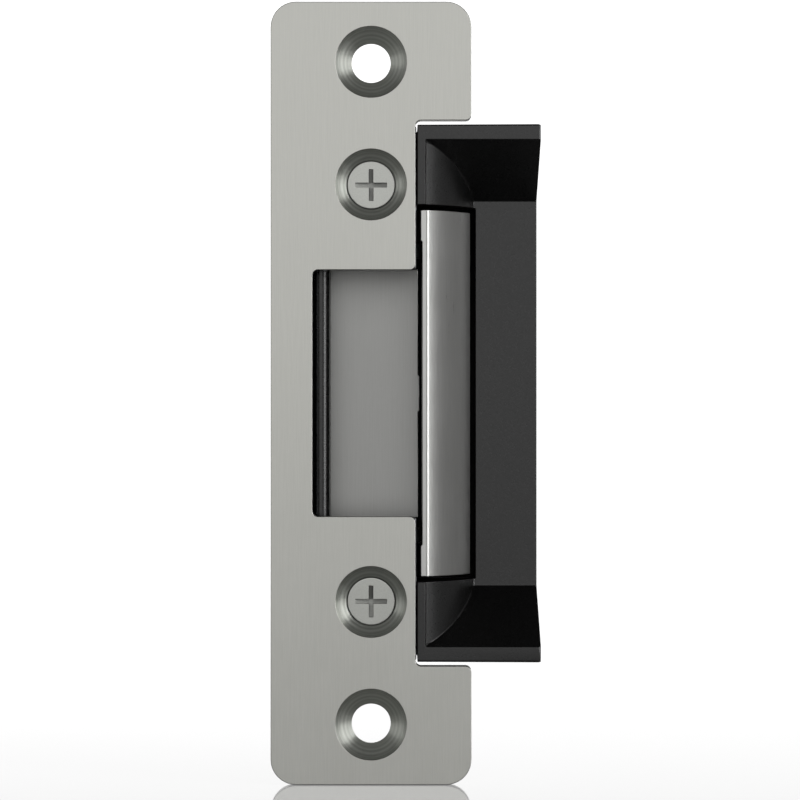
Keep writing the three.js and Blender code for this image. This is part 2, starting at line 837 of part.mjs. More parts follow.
function makePlungerSpring() {
  const bottom = clipZ + clip.thick + plungerSpring.wire;
  const top = frameBottom - plungerSpring.wire;
  const helix = new Helix(springRadius, bottom, top, plungerSpring.turns);
  add('plunger_spring', wire(helix, plungerSpring.wire, plungerSpring.turns * 10, 5), 'zincPlate');
}

function makePushRod() {
  const radius = plunger.rod / 2;
  const low = plungerTop - plunger.socket + slideGap;
  const high = lockBottom + lock.seat;
  add('push_rod', rodZ(coilX, coilY, radius, low, high, 24), 'brass');
}

// The lock block's outline in plan: a sector about the keeper's pin, grown by a margin.
function lockOutline(margin) {
  const middle = Math.hypot(coil.offset, coilY - pivotY);
  const inner = middle - lock.inner - margin;
  const outer = middle + lock.outer + margin;
  const turn = THREE.MathUtils.radToDeg(margin / middle);
  return [
    ...pinArc(inner, lock.to + turn, lock.from - turn, 2),
    ...pinArc(outer, lock.from - turn, lock.to + turn, 2),
  ];
}

function makeLockBlock() {
  const edge = aboutPin(lock.to, Math.hypot(coil.offset, coilY - pivotY));
  const ramp = solid(new THREE.BoxGeometry(4, 8, 4).rotateY(radians(-45))
    .rotateZ(radians(lock.to - 90)).translate(edge.x - 0.9, edge.y - 0.4, lockTop + 1.6));
  const socketTop = lockBottom + lock.seat + slideGap;
  const socket = rodZ(coilX, coilY, plunger.rod / 2 + slideGap, lockBottom - past, socketTop, 24);
  const block = upright(lockOutline(0), lockBottom, lockTop);
  add('lock_block', block.subtract(socket).subtract(ramp), 'satinSteel');
}

function makeLockGuide() {
  const way = lockOutline(slideGap);
  const bounds = new THREE.Box2().setFromPoints(way).expandByScalar(lock.wall);
  const floor = frameTop + lock.guideFloor;
  const top = frameTop + lock.guideHeight;
  const shape = box(bounds.min.x, bounds.max.x, bounds.min.y, bounds.max.y, frameTop, top)
    .subtract(upright(way, floor, top + past))
    .subtract(rodZ(coilX, coilY, plunger.rod / 2 + slideGap, frameTop - past, floor + past, 24));
  add('lock_guide', shape, 'blackMoulding');
}

function makeCoilScrew(name, z) {
  const head = coilScrew.head / 2;
  const shank = coilScrew.diameter / 2;
  const tip = coilX - coil.flange - coil.room - seatGap / 2;
  const top = caseLeft + seatGap / 2;
  const shape = turnedX([
    [0, top],
    [head, top],
    [shank, top + head - shank],
    [shank, tip],
    [0, tip],
  ], coilY, z);
  const slot = box(top - past, top + 0.6, coilY - 1.7, coilY + 1.7, z - 0.3, z + 0.3);
  add(name, shape.subtract(slot), 'zincPlate');
}

// ---------------------------------------------------------------- wiring

function makeControlBoard() {
  let shape = box(boardX - board.width / 2, boardX + board.width / 2, boardY, boardY + board.thick,
    boardZ - board.height / 2, boardZ + board.height / 2);
  for (const x of boardPosts) {
    shape = shape.subtract(rodY(x, boardZ, boardScrew.diameter / 2 + slideGap, boardY - past,
      boardY + board.thick + past, 16));
  }
  add('control_board', shape, 'greenBoard');
}

function makeSurgeDiode() {
  const y = boardY - diode.drop;
  const z = boardZ - diode.drop;
  const legHalf = diode.legSpan / 2;
  let shape = turnedX(disc(diode.radius, boardX - diode.length / 2, boardX + diode.length / 2), y, z, 20);
  shape = shape.add(turnedX(disc(diode.leg, boardX - legHalf - 0.3, boardX + legHalf + 0.3), y, z, 8));
  for (const x of [boardX - legHalf, boardX + legHalf]) {
    shape = shape.add(rodY(x, z, diode.leg, y - diode.leg, boardY - 0.02, 8));
  }
  add('surge_diode', shape, 'blackMoulding');
}

const terminalX = [boardX - terminal.pitch / 2, boardX + terminal.pitch / 2];
const terminalBack = boardY + board.thick + terminal.stand;

const terminalScrewZ = boardZ + 1.6;

const screwFoot = terminalBack - 3.3;

function makeTerminalBlock() {
  const half = terminal.width / 2;
  let shape = box(boardX - half, boardX + half, boardY + board.thick, terminalBack,
    boardZ - terminal.height / 2, boardZ + terminal.height / 2);
  for (const x of terminalX) {
    const mouth = terminalBack + past;
    const screwHole = rodY(x, terminalScrewZ, terminal.screwHole / 2, screwFoot - seatGap, mouth, 24);
    const wireHole = rodY(x, boardZ - 2, terminal.wireHole / 2, terminalBack - 5, mouth, 20);
    shape = shape.subtract(screwHole).subtract(wireHole);
  }
  add('terminal_block', shape, 'blackMoulding');
}

function makeTerminalScrew(name, x) {
  const top = terminalBack - 0.5;
  const z = terminalScrewZ;
  const screw = rodY(x, z, terminal.screw / 2, screwFoot, top, 20);
  add(name, screw.subtract(box(x - 2, x + 2, top - 0.7, top + past, z - 0.25, z + 0.25)), 'zincPlate');
}

// A lead from the winding, up behind the case's side to the board.
function makeCoilLead(name, order, finish) {
  const beside = caseLeft + body.wall + 2.2 - 1.1 * order;
  const behind = coilY + windingRadius + lead.diameter / 2 - seatGap;
  const boardEdge = boardX - board.width / 2;
  const lower = 2 * order;
  const points = [
    [coilX - 1.4, behind, frameTop - 5 - lower],
    [coilX - 4.6, behind, frameTop - 2.5 - lower],
    [beside, behind - 0.3, frameTop + 2 - lower],
    [beside, behind - 0.9, frameTop + 11],
    [beside, behind - 1.3, earStart - 1],
    [boardEdge - 2.6, boardY + 1.1 - 1.2 * order, boardZ - 3.6 - order],
    [boardEdge - 0.4, boardY + board.thick / 2, boardZ - 1.4 - 1.7 * order],
  ].map(([x, y, z]) => new THREE.Vector3(x, y, z));
  add(name, wire(new THREE.CatmullRomCurve3(points, false, 'centripetal'), lead.diameter, 20, 6), finish);
}

// ---------------------------------------------------------------- the strike

makeFaceplate();
makePlateScrew('faceplate_screw_top', 1);
makePlateScrew('faceplate_screw_bottom', -1);
makeLipHousing();
makeHousingScrew('housing_screw_top', 1);
makeHousingScrew('housing_screw_bottom', -1);
makeKeeper();
makeKeeperPin('keeper_pin_top', 1);
makeKeeperPin('keeper_pin_bottom', -1);
makeReturnSpring('return_spring_top', 1);
makeReturnSpring('return_spring_bottom', -1);
makeBumper('keeper_bumper_top', 1);
makeBumper('keeper_bumper_bottom', -1);
makeCaseBody();
makeBackCover();
corners.forEach(([x, z], i) => {
  rearScrew(`cover_screw_${i + 1}`, coverScrew, x, z, coverBack, 'zincPlate');
});
makeLatchLiner();
makeStopPlate();
makeSolenoidFrame();
makeCoilScrew('solenoid_screw_top', coilScrewHeights[0]);
makeCoilScrew('solenoid_screw_bottom', coilScrewHeights[1]);
makeCoil();
makeFixedCore();
makePlunger();
makePlungerClip();
makePlungerSpring();
makePushRod();
makeLockBlock();
makeLockGuide();
makeControlBoard();
rearScrew('board_screw_left', boardScrew, boardPosts[0], boardZ, boardY + board.thick, 'zincPlate');
rearScrew('board_screw_right', boardScrew, boardPosts[1], boardZ, boardY + board.thick, 'zincPlate');
makeSurgeDiode();
makeTerminalBlock();
makeTerminalScrew('terminal_screw_left', terminalX[0]);
makeTerminalScrew('terminal_screw_right', terminalX[1]);
makeCoilLead('coil_lead_plus', 0, 'redSleeve');
makeCoilLead('coil_lead_minus', 1, 'blackMoulding');

export default strike;
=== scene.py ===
# %% [markdown]
# # An electric door strike
# The strike is a steel faceplate with a sprung keeper beside its latch opening, a black die-cast lip
# housing, and a shallow case with a solenoid behind them. The CAD model gives every piece its place. This
# script gives the pieces their edges, their surfaces and their small repeated detail, a step at a time.

# %% Load the frame
import json
import math

import bmesh
import bpy
import numpy as np
from mathutils import Matrix, Vector


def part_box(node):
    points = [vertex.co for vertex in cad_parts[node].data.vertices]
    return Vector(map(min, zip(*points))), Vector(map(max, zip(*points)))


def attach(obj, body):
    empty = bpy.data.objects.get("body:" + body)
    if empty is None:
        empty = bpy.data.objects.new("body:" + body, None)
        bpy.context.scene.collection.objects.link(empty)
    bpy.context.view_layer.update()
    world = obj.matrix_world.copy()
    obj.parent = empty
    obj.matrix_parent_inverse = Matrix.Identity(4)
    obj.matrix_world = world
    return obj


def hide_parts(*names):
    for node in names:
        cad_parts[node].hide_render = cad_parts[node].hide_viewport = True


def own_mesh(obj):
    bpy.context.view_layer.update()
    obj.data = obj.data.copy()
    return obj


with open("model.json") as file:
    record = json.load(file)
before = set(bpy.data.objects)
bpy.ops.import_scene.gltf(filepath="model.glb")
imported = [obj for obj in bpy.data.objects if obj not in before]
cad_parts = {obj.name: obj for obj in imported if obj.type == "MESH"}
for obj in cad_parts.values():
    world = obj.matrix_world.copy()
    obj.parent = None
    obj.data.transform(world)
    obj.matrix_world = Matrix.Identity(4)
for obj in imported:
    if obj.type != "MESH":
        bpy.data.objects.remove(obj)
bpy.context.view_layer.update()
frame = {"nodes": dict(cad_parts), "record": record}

MM = 0.001
nodes = frame["nodes"]
slots = {row["node"]: row["material_slot"] for row in frame["record"]["subparts"]}
body_of_node = {node: body for body, held in frame["record"]["behaviour"]["bodies"].items() for node in held}

# %% [markdown]
# ## Camera and light
# The strike stands upright on a pale bench and is seen square on, from about half a metre, through a long
# lens, so that its walls hardly converge. A broad softbox over the camera is what the flat steel mirrors. A
# narrow, bright one to the right of it draws the thin line down the keeper's rounded nose.

# %% Camera
plate_low, plate_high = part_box("faceplate")
plate_middle = (plate_low + plate_high) / 2
CAMERA_DISTANCE = 550 * MM
CAMERA_RIGHT = 4.58 * MM
CAMERA_DOWN = 1.07 * MM
LENS = 156.6

scene = bpy.context.scene
camera = bpy.data.objects.new("camera", bpy.data.cameras.new("camera"))
camera.data.lens = LENS
camera.data.sensor_width = 36
camera.data.clip_start = 0.05
camera.location = (plate_middle.x + CAMERA_RIGHT, plate_low.y - CAMERA_DISTANCE, plate_middle.z - CAMERA_DOWN)
camera.rotation_euler = (math.radians(90), 0, 0)
scene.collection.objects.link(camera)
scene.camera = camera
scene.view_settings.view_transform = "Standard"
print("camera at", tuple(round(v, 4) for v in camera.location))


# %% Colours and the one node helper
def linear(code, alpha=1.0):
    """A colour in sRGB hex, such as "AFB1AA", as linear red, green, blue and alpha."""
    parts = [int(code[i:i + 2], 16) / 255 for i in (0, 2, 4)]
    return [p / 12.92 if p <= 0.04045 else ((p + 0.055) / 1.055) ** 2.4 for p in parts] + [alpha]


def add_node(tree, kind, sockets=None, **settings):
    """Adds a node. Each of its sockets, by name or number, takes a value or another node's output."""
    node = tree.nodes.new(kind)
    for key, value in settings.items():
        setattr(node, key, value)
    for key, value in (sockets or {}).items():
        if isinstance(value, bpy.types.NodeSocket):
            tree.links.new(value, node.inputs[key])
        else:
            node.inputs[key].default_value = value
    return node


print("sRGB AFB1AA is", [round(v, 3) for v in linear("AFB1AA")])


# %% Softboxes
def softbox(name, place, size, brightness):
    """A rectangular area light at a place, turned towards the strike. A brightness of 1 is plain white."""
    light = bpy.data.lights.new(name, "AREA")
    light.shape = "RECTANGLE"
    light.size, light.size_y = size
    light.energy = brightness * 4 * size[0] * size[1]
    holder = bpy.data.objects.new(name, light)
    holder.location = place
    holder.rotation_euler = (plate_middle - Vector(place)).to_track_quat("-Z", "Y").to_euler()
    scene.collection.objects.link(holder)


softbox("softbox_front", (0.0, -1.10, 0.22), (1.0, 0.80), 0.92)
softbox("softbox_key", (0.94, -0.62, 0.03), (0.36, 1.10), 5.6)
softbox("softbox_right", (0.75, 0.65, 0.02), (0.50, 0.70), 0.9)
softbox("softbox_left", (-0.95, -0.40, 0.02), (0.40, 0.60), 0.9)
softbox("softbox_behind", (-0.30, 1.10, 0.45), (0.90, 0.50), 1.8)

# %% [markdown]
# ## Room
# A metal shows its room, so the room matters as much as the lights. This one has a white backdrop behind
# the strike, dim grey sides, and darkness above and below, which is what keeps the upper and lower walls of
# each countersink dark. The camera itself sees plain white wherever it looks past the strike.

# %% Room
ROOM_SIDES = 0.30
ROOM_ENDS = 0.03
BACKDROP = 1.25

world = bpy.data.worlds.new("room")
world.use_nodes = True
scene.world = world
tree = world.node_tree
tree.nodes.clear()
direction = add_node(tree, "ShaderNodeTexCoord").outputs["Generated"]
axes = add_node(tree, "ShaderNodeSeparateXYZ", {"Vector": direction}).outputs
height = add_node(tree, "ShaderNodeMath", {0: axes["Z"], 1: axes["Z"]}, operation="MULTIPLY")
sides = add_node(tree, "ShaderNodeMapRange", {"Value": height.outputs[0], "From Min": 0.02, "From Max": 0.5,
                 "To Min": ROOM_SIDES, "To Max": ROOM_ENDS}, interpolation_type="SMOOTHSTEP")
behind = add_node(tree, "ShaderNodeMapRange", {"Value": axes["Y"], "From Min": 0.80, "From Max": 0.97,
                  "To Max": BACKDROP}, interpolation_type="SMOOTHSTEP")
level = add_node(tree, "ShaderNodeMath", {0: sides.outputs[0], 1: behind.outputs[0]}, operation="MAXIMUM")
ray = add_node(tree, "ShaderNodeLightPath").outputs["Is Camera Ray"]
shown = add_node(tree, "ShaderNodeMath", {0: level.outputs[0], 1: ray}, operation="MAXIMUM")
paint = add_node(tree, "ShaderNodeBackground", {"Color": linear("FFFFFF"), "Strength": shown.outputs[0]})
add_node(tree, "ShaderNodeOutputWorld", {"Surface": paint.outputs[0]})
print("room from", ROOM_ENDS, "to", BACKDROP)

# %% [markdown]
# ## Bench
# The bench is glossy white acrylic. Seen along its surface like this it is nearly a mirror, so the plate's
# foot stands on its own reflection.

# %% Bench
def new_material(name):
    """An empty material and its tree."""
    material = bpy.data.materials.new(name)
    material.use_nodes = True
    material.node_tree.nodes.clear()
    return material, material.node_tree


BENCH_GLOW = 0.23
acrylic, tree = new_material("white_acrylic")
ray = add_node(tree, "ShaderNodeLightPath").outputs["Is Camera Ray"]
glow = add_node(tree, "ShaderNodeMath", {0: ray, 1: BENCH_GLOW}, operation="MULTIPLY")
shader = add_node(tree, "ShaderNodeBsdfPrincipled", {
    "Base Color": linear("8C8C8C"), "Roughness": 0.05, "IOR": 1.49,
    "Emission Color": linear("FFFFFF"), "Emission Strength": glow.outputs[0]})
add_node(tree, "ShaderNodeOutputMaterial", {"Surface": shader.outputs[0]})
bench_mesh = bpy.data.meshes.new("bench")
bench = bpy.data.objects.new("bench", bench_mesh)
scene.collection.objects.link(bench)
BENCH_HALF = 0.9
bench_z = plate_low.z - 0.05 * MM
bench_mesh.from_pydata([(x, y, bench_z) for x, y in
                        ((-BENCH_HALF, -BENCH_HALF), (BENCH_HALF, -BENCH_HALF),
                         (BENCH_HALF, BENCH_HALF), (-BENCH_HALF, BENCH_HALF))], [], [(0, 1, 2, 3)])
bench_mesh.materials.append(acrylic)
print("bench at z", round(bench_z, 5))

# %% [markdown]
# ## Metals
# A metal's look is its base colour, how sharply it mirrors, and the marks that its making left. Brushing
# leaves fine scratches one way, so its noise is stretched along Z. A satin casting has no direction, only a
# soft blur. Real scratches are some hundredths of a millimetre wide, so these are drawn a few times coarser
# than that, or they wouldn't show.


# %% Brushed and satin metal
def grain(tree, spacing, stretch, detail=3.0):
    """Noise whose cells are spacing metres wide, drawn out by stretch along X, Y and Z."""
    place = add_node(tree, "ShaderNodeTexCoord").outputs["Object"]
    scaled = add_node(tree, "ShaderNodeMapping",
                      {"Vector": place, "Scale": [1 / (spacing * s) for s in stretch]})
    return add_node(tree, "ShaderNodeTexNoise", {"Vector": scaled.outputs[0], "Scale": 1.0,
                    "Detail": detail, "Roughness": 0.6}).outputs["Fac"]


def surface(tree, pattern, dark, light, rough, swing, depth, constants):
    """A Principled surface whose colour, gloss and height all follow one pattern of about 0.3 to 0.7."""
    shade = add_node(tree, "ShaderNodeMapRange", {"Value": pattern, "From Min": 0.3, "From Max": 0.7})
    colour = add_node(tree, "ShaderNodeMix", {"Factor": shade.outputs[0], 6: linear(dark), 7: linear(light)},
                      data_type="RGBA")
    gloss = add_node(tree, "ShaderNodeMapRange", {"Value": pattern, "From Min": 0.3, "From Max": 0.7,
                     "To Min": rough - swing, "To Max": rough + swing})
    relief = add_node(tree, "ShaderNodeBump", {"Height": pattern, "Distance": depth})
    shader = add_node(tree, "ShaderNodeBsdfPrincipled", {
        "Base Color": colour.outputs[2], "Roughness": gloss.outputs[0], "Normal": relief.outputs[0],
        **constants})
    add_node(tree, "ShaderNodeOutputMaterial", {"Surface": shader.outputs[0]})
    return shader


def metal(name, dark, light, rough, spacing, stretch, depth):
    """A brushed or satin metal: fine scratches or grain, over broad faint clouds."""
    material, tree = new_material(name)
    scratches = grain(tree, spacing, stretch)
    clouds = grain(tree, 9 * MM, (1, 1, 1), 2.0)
    both = add_node(tree, "ShaderNodeMix", {0: 0.35, 2: scratches, 3: clouds})
    surface(tree, both.outputs[0], dark, light, rough, 0.03, depth, {"Metallic": 1.0})
    return material


finishes = {
    # Stainless sheet, belt-brushed along its length: a soft vertical streak in every reflection.
    "faceplate_steel": metal("brushed_stainless", "A6A6A1", "B2B2AD", 0.34, 0.09 * MM, (1, 1, 60),
                             0.002 * MM),
    # Investment-cast keeper, tumbled and polished to satin.
    "keeper_steel": metal("satin_cast_steel", "A4A4A2", "AFAFAD", 0.30, 0.2 * MM, (1, 1, 30), 0.0008 * MM),
    # Screw heads are turned and left bright.
    "plate_screw_steel": metal("turned_screw_steel", "999A96", "A9AAA5", 0.32, 0.2 * MM, (1, 1, 1),
                               0.002 * MM),
    # Cold-rolled sheet, satin.
    "stop_steel": metal("satin_sheet_steel", "8B8B89", "939391", 0.36, 0.18 * MM, (1, 1, 40), 0.002 * MM),
    "cover_steel": metal("brushed_cover_steel", "9FA19F", "B0B2B0", 0.38, 0.12 * MM, (1, 1, 60), 0.003 * MM),
    # Zinc die casting, plated: a faint orange peel.
    "case_zinc": metal("plated_zinc_casting", "9B9DA0", "ADAFB2", 0.42, 0.6 * MM, (1, 1, 1), 0.012 * MM),
    "screw_zinc": metal("bright_zinc_plate", "A9ABAE", "BBBDC0", 0.3, 0.25 * MM, (1, 1, 1), 0.003 * MM),
    "spring_steel": metal("drawn_spring_wire", "7E7F81", "909193", 0.3, 0.15 * MM, (1, 1, 1), 0.002 * MM),
    "soft_iron": metal("turned_soft_iron", "6C6E70", "808284", 0.38, 0.2 * MM, (1, 1, 1), 0.003 * MM),
    "rod_brass": metal("drawn_brass", "A98A48", "BE9F58", 0.3, 0.15 * MM, (1, 1, 40), 0.002 * MM),
    "copper_wire": metal("enamelled_copper", "8E4322", "A9552C", 0.28, 0.3 * MM, (1, 1, 1), 0.002 * MM),
    "lock_steel": metal("sintered_steel", "8C8C8B", "9E9E9D", 0.45, 0.12 * MM, (1, 1, 1), 0.006 * MM),
}
print(len(finishes), "metals")

# %% [markdown]
# ## Turned countersinks
# A countersink is cut by a turning tool, so its grooves run round the hole. Grooves throw light across
# themselves: a cone of them shows a bright fan towards each lamp and darkness between. An anisotropic
# surface does that once its tangent runs across the grooves. The mesh carries that tangent, and the
# distance from the hole's middle that the rings are drawn from, as its own attributes.

# %% Turned steel
RING_SPACING = 0.3 * MM
turned_steel, tree = new_material("turned_countersink")
distance = add_node(tree, "ShaderNodeAttribute", attribute_name="turn_radius").outputs["Fac"]
outward = add_node(tree, "ShaderNodeAttribute", attribute_name="turn_outward").outputs["Vector"]
rings = add_node(tree, "ShaderNodeTexNoise", {"W": add_node(tree, "ShaderNodeMath",
                 {0: distance, 1: 1 / RING_SPACING}, operation="MULTIPLY").outputs[0],
                 "Scale": 1.0, "Detail": 2.0}, noise_dimensions="1D").outputs["Fac"]
shader = surface(tree, rings, "A4A6A0", "BABCB6", 0.38, 0.05, 0.003 * MM,
                 {"Metallic": 1.0, "Anisotropic": 0.85})
tree.links.new(outward, shader.inputs["Tangent"])
print("rings about", RING_SPACING / MM, "mm apart")

# %% [markdown]
# ## Plastics, paint and rubber
# These are all dark and plain, so grit and gloss do the work. The lip housing's black coat has a sandy
# texture about a fifth of a millimetre across. Moulded nylon is smoother, and rubber is duller.


# %% Moulded and painted finishes
def moulded(name, dark, light, rough, spacing, depth, ior=1.5):
    """Paint, moulded plastic or rubber: an even grit on a surface that isn't metal."""
    material, tree = new_material(name)
    surface(tree, grain(tree, spacing, (1, 1, 1), 4.0), dark, light, rough, 0.05, depth, {"IOR": ior})
    return material


finishes.update({
    # Textured powder coat on the zinc lip casting: sandy, between satin and matt.
    "die_cast_black": moulded("textured_black_coat", "050505", "0E0E0E", 0.31, 0.24 * MM, 0.012 * MM),
    "liner_black": moulded("black_nylon", "020202", "050505", 0.3, 0.3 * MM, 0.001 * MM, 1.53),
    "bumper_rubber": moulded("black_rubber", "040404", "090909", 0.75, 0.2 * MM, 0.01 * MM, 1.52),
    "bobbin_nylon": moulded("natural_nylon", "CFCDC2", "DAD8CE", 0.5, 0.4 * MM, 0.004 * MM, 1.53),
    "board_green": moulded("green_solder_mask", "1B5233", "21603C", 0.4, 0.5 * MM, 0.003 * MM, 1.54),
    "terminal_black": moulded("black_polyamide", "131314", "1C1C1D", 0.42, 0.3 * MM, 0.004 * MM, 1.53),
    "diode_black": moulded("epoxy_package", "0F0F0F", "171717", 0.3, 0.3 * MM, 0.002 * MM, 1.55),
    "lead_red": moulded("red_pvc_sleeve", "8F1C18", "A3231D", 0.4, 0.4 * MM, 0.002 * MM, 1.53),
    "lead_black": moulded("black_pvc_sleeve", "101010", "181818", 0.4, 0.4 * MM, 0.002 * MM, 1.53),
})
# The cover's inner face is painted near black: painted shade seen through the gap beside the keeper's end.
cover_inner_shade = moulded("black_insulating_lacquer", "030303", "070707", 0.7, 0.3 * MM, 0.004 * MM, 1.5)
for node, part in nodes.items():
    for held in part.material_slots:
        held.material = finishes[slots[node]]
print(len(finishes), "finishes on", len(nodes), "nodes")

# %% [markdown]
# ## Soft edges
# No real edge is sharp: a file, a tumbler or a mould leaves a radius of a tenth of a millimetre or more,
# and that radius catches the light. The CAD solids have hard edges, so the pieces that show are rebuilt
# from merged copies of their CAD meshes with their edges rounded.


# %% Copies, rounded edges and finished pieces
def cad_copy(node):
    """A merged copy of a CAD node's mesh, with the triangles of each flat face joined."""
    shape = bmesh.new()
    shape.from_mesh(nodes[node].data)
    bmesh.ops.remove_doubles(shape, verts=shape.verts, dist=0.002 * MM)
    bmesh.ops.dissolve_limit(shape, angle_limit=math.radians(0.6), verts=shape.verts, edges=shape.edges)
    return shape


def finished(name, shape, standing_for, radius=0.0, segments=2, sharp=32, extra=()):
    """Makes a bmesh a piece: rounds its edges, shades it smooth between them and hangs it on its body."""
    mesh = bpy.data.meshes.new(name)
    shape.to_mesh(mesh)
    shape.free()
    piece = bpy.data.objects.new(name, mesh)
    scene.collection.objects.link(piece)
    first = standing_for[0]
    for material in (finishes[slots[first]], *extra):
        mesh.materials.append(material)
    if radius:
        bevel = piece.modifiers.new("edges", "BEVEL")
        bevel.width = radius
        bevel.segments = segments
        bevel.limit_method = "ANGLE"
        bevel.angle_limit = math.radians(sharp)
        bevel.miter_outer = "MITER_ARC"
        bevel.use_clamp_overlap = False
    return settled(piece, standing_for, sharp)


def applied(piece):
    """Makes a piece's modifiers into plain mesh."""
    graph = bpy.context.evaluated_depsgraph_get()
    mesh = bpy.data.meshes.new_from_object(piece.evaluated_get(graph), depsgraph=graph)
    mesh.name = piece.name
    piece.modifiers.clear()
    piece.data = mesh


def settled(piece, standing_for, sharp=32):
    """Applies a piece's modifiers, smooths its shading, gives it its body and hides the CAD nodes it stands
    for.
    """
    applied(piece)
    piece.data.shade_smooth()
    piece.data.set_sharp_from_angle(angle=math.radians(sharp))
    flatten = piece.modifiers.new("flatten", "WEIGHTED_NORMAL")
    flatten.keep_sharp = True
    flatten.weight = 100
    applied(piece)
    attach(piece, body_of_node[standing_for[0]])
    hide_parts(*standing_for)
    print(piece.name, len(piece.data.polygons), "faces")
    return piece


# %% [markdown]
# ## Flat plates
# A plate is an outline with holes, given a thickness. Blender's 2D curve does just that: it fills between
# its loops, pushes the fill out both ways and rounds every rim, holes too. So the faceplate and the cover
# are drawn as loops of straight runs and arcs.


# %% Loops and plates
def arc_points(centre, radius, start, turn, steps):
    """Points along an arc, with angles in degrees."""
    angles = [math.radians(start + turn * i / steps) for i in range(steps + 1)]
    return [(centre[0] + radius * math.cos(a), centre[1] + radius * math.sin(a)) for a in angles]


def rounded_loop(corners, steps=10):
    """A closed loop through (x, z, radius) corners, each turned with an arc of its radius."""
    points = []
    for i, (x, z, radius) in enumerate(corners):
        here = Vector((x, z))
        back = (Vector(corners[i - 1][:2]) - here).normalized()
        on = (Vector(corners[(i + 1) % len(corners)][:2]) - here).normalized()
        half = back.angle(on) / 2
        centre = here + (back + on).normalized() * radius / math.sin(half)
        begin = here + back * radius / math.tan(half) - centre
        finish = here + on * radius / math.tan(half) - centre
        start = math.degrees(math.atan2(begin.y, begin.x))
        turn = math.degrees(math.atan2(begin.x * finish.y - begin.y * finish.x, begin.dot(finish)))
        points += arc_points(centre, radius, start, turn, steps)
    return points


def circle_loop(x, z, radius, sides=96):
    """A closed round loop."""
    return arc_points((x, z), radius, 0, 360, sides)[:-1]


def plate_shape(loops, front, back, rim):
    """A plate between two Y depths, from loops of X and Z, its rims rounded by rim, as a bmesh."""
    curve = bpy.data.curves.new("outline", "CURVE")
    curve.dimensions = "2D"
    curve.fill_mode = "BOTH"
    for points in loops:
        spline = curve.splines.new("POLY")
        spline.points.add(len(points) - 1)
        for point, (x, z) in zip(spline.points, points):
            point.co = (x, z, 0, 1)
        spline.use_cyclic_u = True
    curve.extrude = (back - front) / 2 - rim
    curve.bevel_depth = rim
    curve.bevel_resolution = 2
    curve.offset = -rim
    holder = bpy.data.objects.new("outline", curve)
    scene.collection.objects.link(holder)
    graph = bpy.context.evaluated_depsgraph_get()
    flat = bpy.data.meshes.new_from_object(holder.evaluated_get(graph), depsgraph=graph)
    bpy.data.objects.remove(holder)
    shape = bmesh.new()
    shape.from_mesh(flat)
    bmesh.ops.remove_doubles(shape, verts=shape.verts, dist=0.002 * MM)
    stand = Matrix.Translation((0, (front + back) / 2, 0)) @ Matrix.Rotation(math.radians(90), 4, "X")
    bmesh.ops.transform(shape, matrix=stand, verts=shape.verts)
    bmesh.ops.recalc_face_normals(shape, faces=shape.faces)
    flat_edges = [e for e in shape.edges if all(abs(f.normal.y) > 0.9999 for f in e.link_faces)]
    bmesh.ops.dissolve_limit(shape, angle_limit=math.radians(0.3), verts=[], edges=flat_edges)
    return shape


# %% Faceplate
plate_points = np.array([v.co for v in nodes["faceplate"].data.vertices])
PLATE_CORNER = 4 * MM
NOTCH_CORNER = 0.9 * MM
PLATE_RIM = 0.12 * MM
housing_low, housing_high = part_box("lip_housing")
notch = plate_points[(plate_points[:, 0] > 7 * MM) & (np.abs(plate_points[:, 2]) < housing_high.z + 2 * MM)]
notch_x = notch[:, 0].min()
notch_z = housing_high.z + 0.65 * MM
opening = plate_points[(np.abs(plate_points[:, 2]) < 20 * MM) & (plate_points[:, 0] < 0)]
opening_x = opening[:, 0].min()
opening_z = opening[:, 2].max()
print("notch", round(notch_x / MM, 2), round(notch_z / MM, 2), "opening", round(opening_x / MM, 2),
      round(opening_z / MM, 2))

SINK = 5.6 * MM
MOUNT_SPACING = 104.775 * MM
MOUNT_BORE = 3.1 * MM
SCREW_BORE = 2.75 * MM
mount_z = MOUNT_SPACING / 2
screw_boxes = [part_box("faceplate_screw_top"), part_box("faceplate_screw_bottom")]
screw_heights = [(low.z + high.z) / 2 for low, high in screw_boxes]
holes = [(z, MOUNT_BORE) for z in (mount_z, -mount_z)] + [(z, SCREW_BORE) for z in screw_heights]
plate_loop = rounded_loop([
    (notch_x, -opening_z, NOTCH_CORNER), (notch_x, -notch_z, NOTCH_CORNER),
    (plate_high.x, -notch_z, NOTCH_CORNER), (plate_high.x, plate_low.z, PLATE_CORNER),
    (plate_low.x, plate_low.z, PLATE_CORNER), (plate_low.x, plate_high.z, PLATE_CORNER),
    (plate_high.x, plate_high.z, PLATE_CORNER), (plate_high.x, notch_z, NOTCH_CORNER),
    (notch_x, notch_z, NOTCH_CORNER), (notch_x, opening_z, NOTCH_CORNER),
    (opening_x, opening_z, NOTCH_CORNER), (opening_x, -opening_z, NOTCH_CORNER),
])


def loop_round(shape, z, radius, y):
    """A hole's vertices at one radius and depth, in order round it."""
    found = [v for v in shape.verts if abs(v.co.y - y) < 0.01 * MM
             and abs(math.hypot(v.co.x, v.co.z - z) - radius) < 0.01 * MM]
    return sorted(found, key=lambda v: math.atan2(v.co.z - z, v.co.x))


